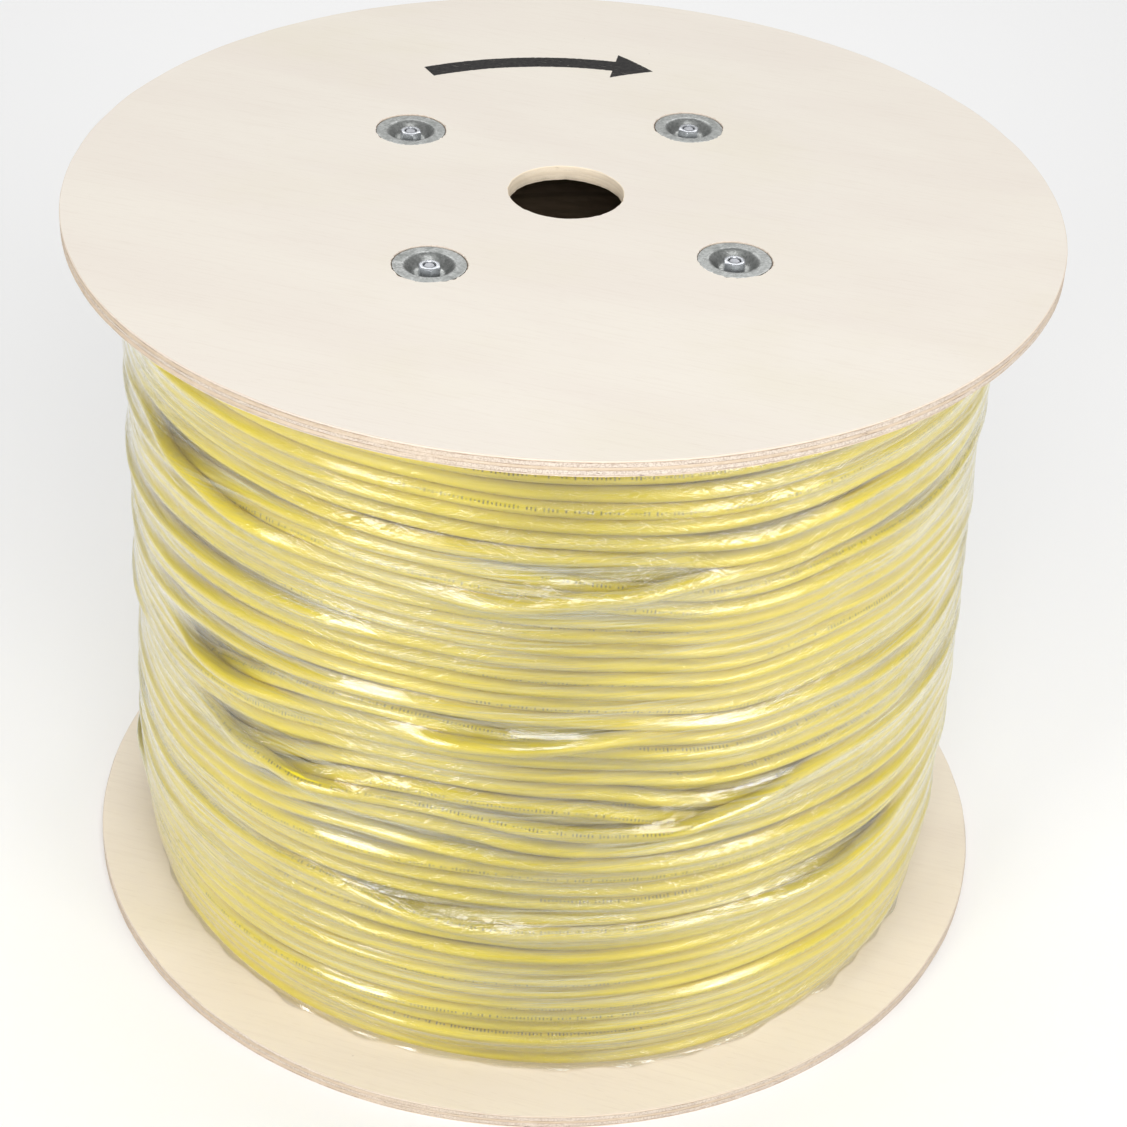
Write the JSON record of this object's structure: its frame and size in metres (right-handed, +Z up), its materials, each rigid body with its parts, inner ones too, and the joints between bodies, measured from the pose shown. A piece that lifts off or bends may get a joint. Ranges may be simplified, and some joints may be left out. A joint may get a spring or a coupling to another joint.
{
  "type": "wound cable reel",
  "caption": "Plywood cable reel with an arbor hole, tie rods in dished washers, a full winding of yellow network cable and a clear stretch film wrap.",
  "frame": {"origin": "centre of the lower flange's outer face, which the reel stands on", "axes": "+Z up the arbor axis; the four tie rods stand on the diagonals between X and Y; +X and +Y are otherwise equal"},
  "size_m": [0.4999, 0.5, 0.4],
  "materials": {
    "plywood": "matte",
    "core_board": "matte",
    "cable_jacket": "satin",
    "film": "gloss",
    "rod_zinc": "satin",
    "washer_galvanised": "satin",
    "nut_zinc": "polished"
  },
  "bodies": {
    "root": {"upper_flange": "plywood", "lower_flange": "plywood", "core_tube": "core_board", "cable_winding": "cable_jacket", "stretch_film": "film", "tie_rod_1": "rod_zinc", "tie_rod_2": "rod_zinc", "tie_rod_3": "rod_zinc", "tie_rod_4": "rod_zinc", "upper_cup_washer_1": "washer_galvanised", "upper_cup_washer_2": "washer_galvanised", "upper_cup_washer_3": "washer_galvanised", "upper_cup_washer_4": "washer_galvanised", "upper_hex_nut_1": "nut_zinc", "upper_hex_nut_2": "nut_zinc", "upper_hex_nut_3": "nut_zinc", "upper_hex_nut_4": "nut_zinc", "lower_cup_washer_1": "washer_galvanised", "lower_cup_washer_2": "washer_galvanised", "lower_cup_washer_3": "washer_galvanised", "lower_cup_washer_4": "washer_galvanised", "lower_hex_nut_1": "nut_zinc", "lower_hex_nut_2": "nut_zinc", "lower_hex_nut_3": "nut_zinc", "lower_hex_nut_4": "nut_zinc"}
  },
  "joints": []
}
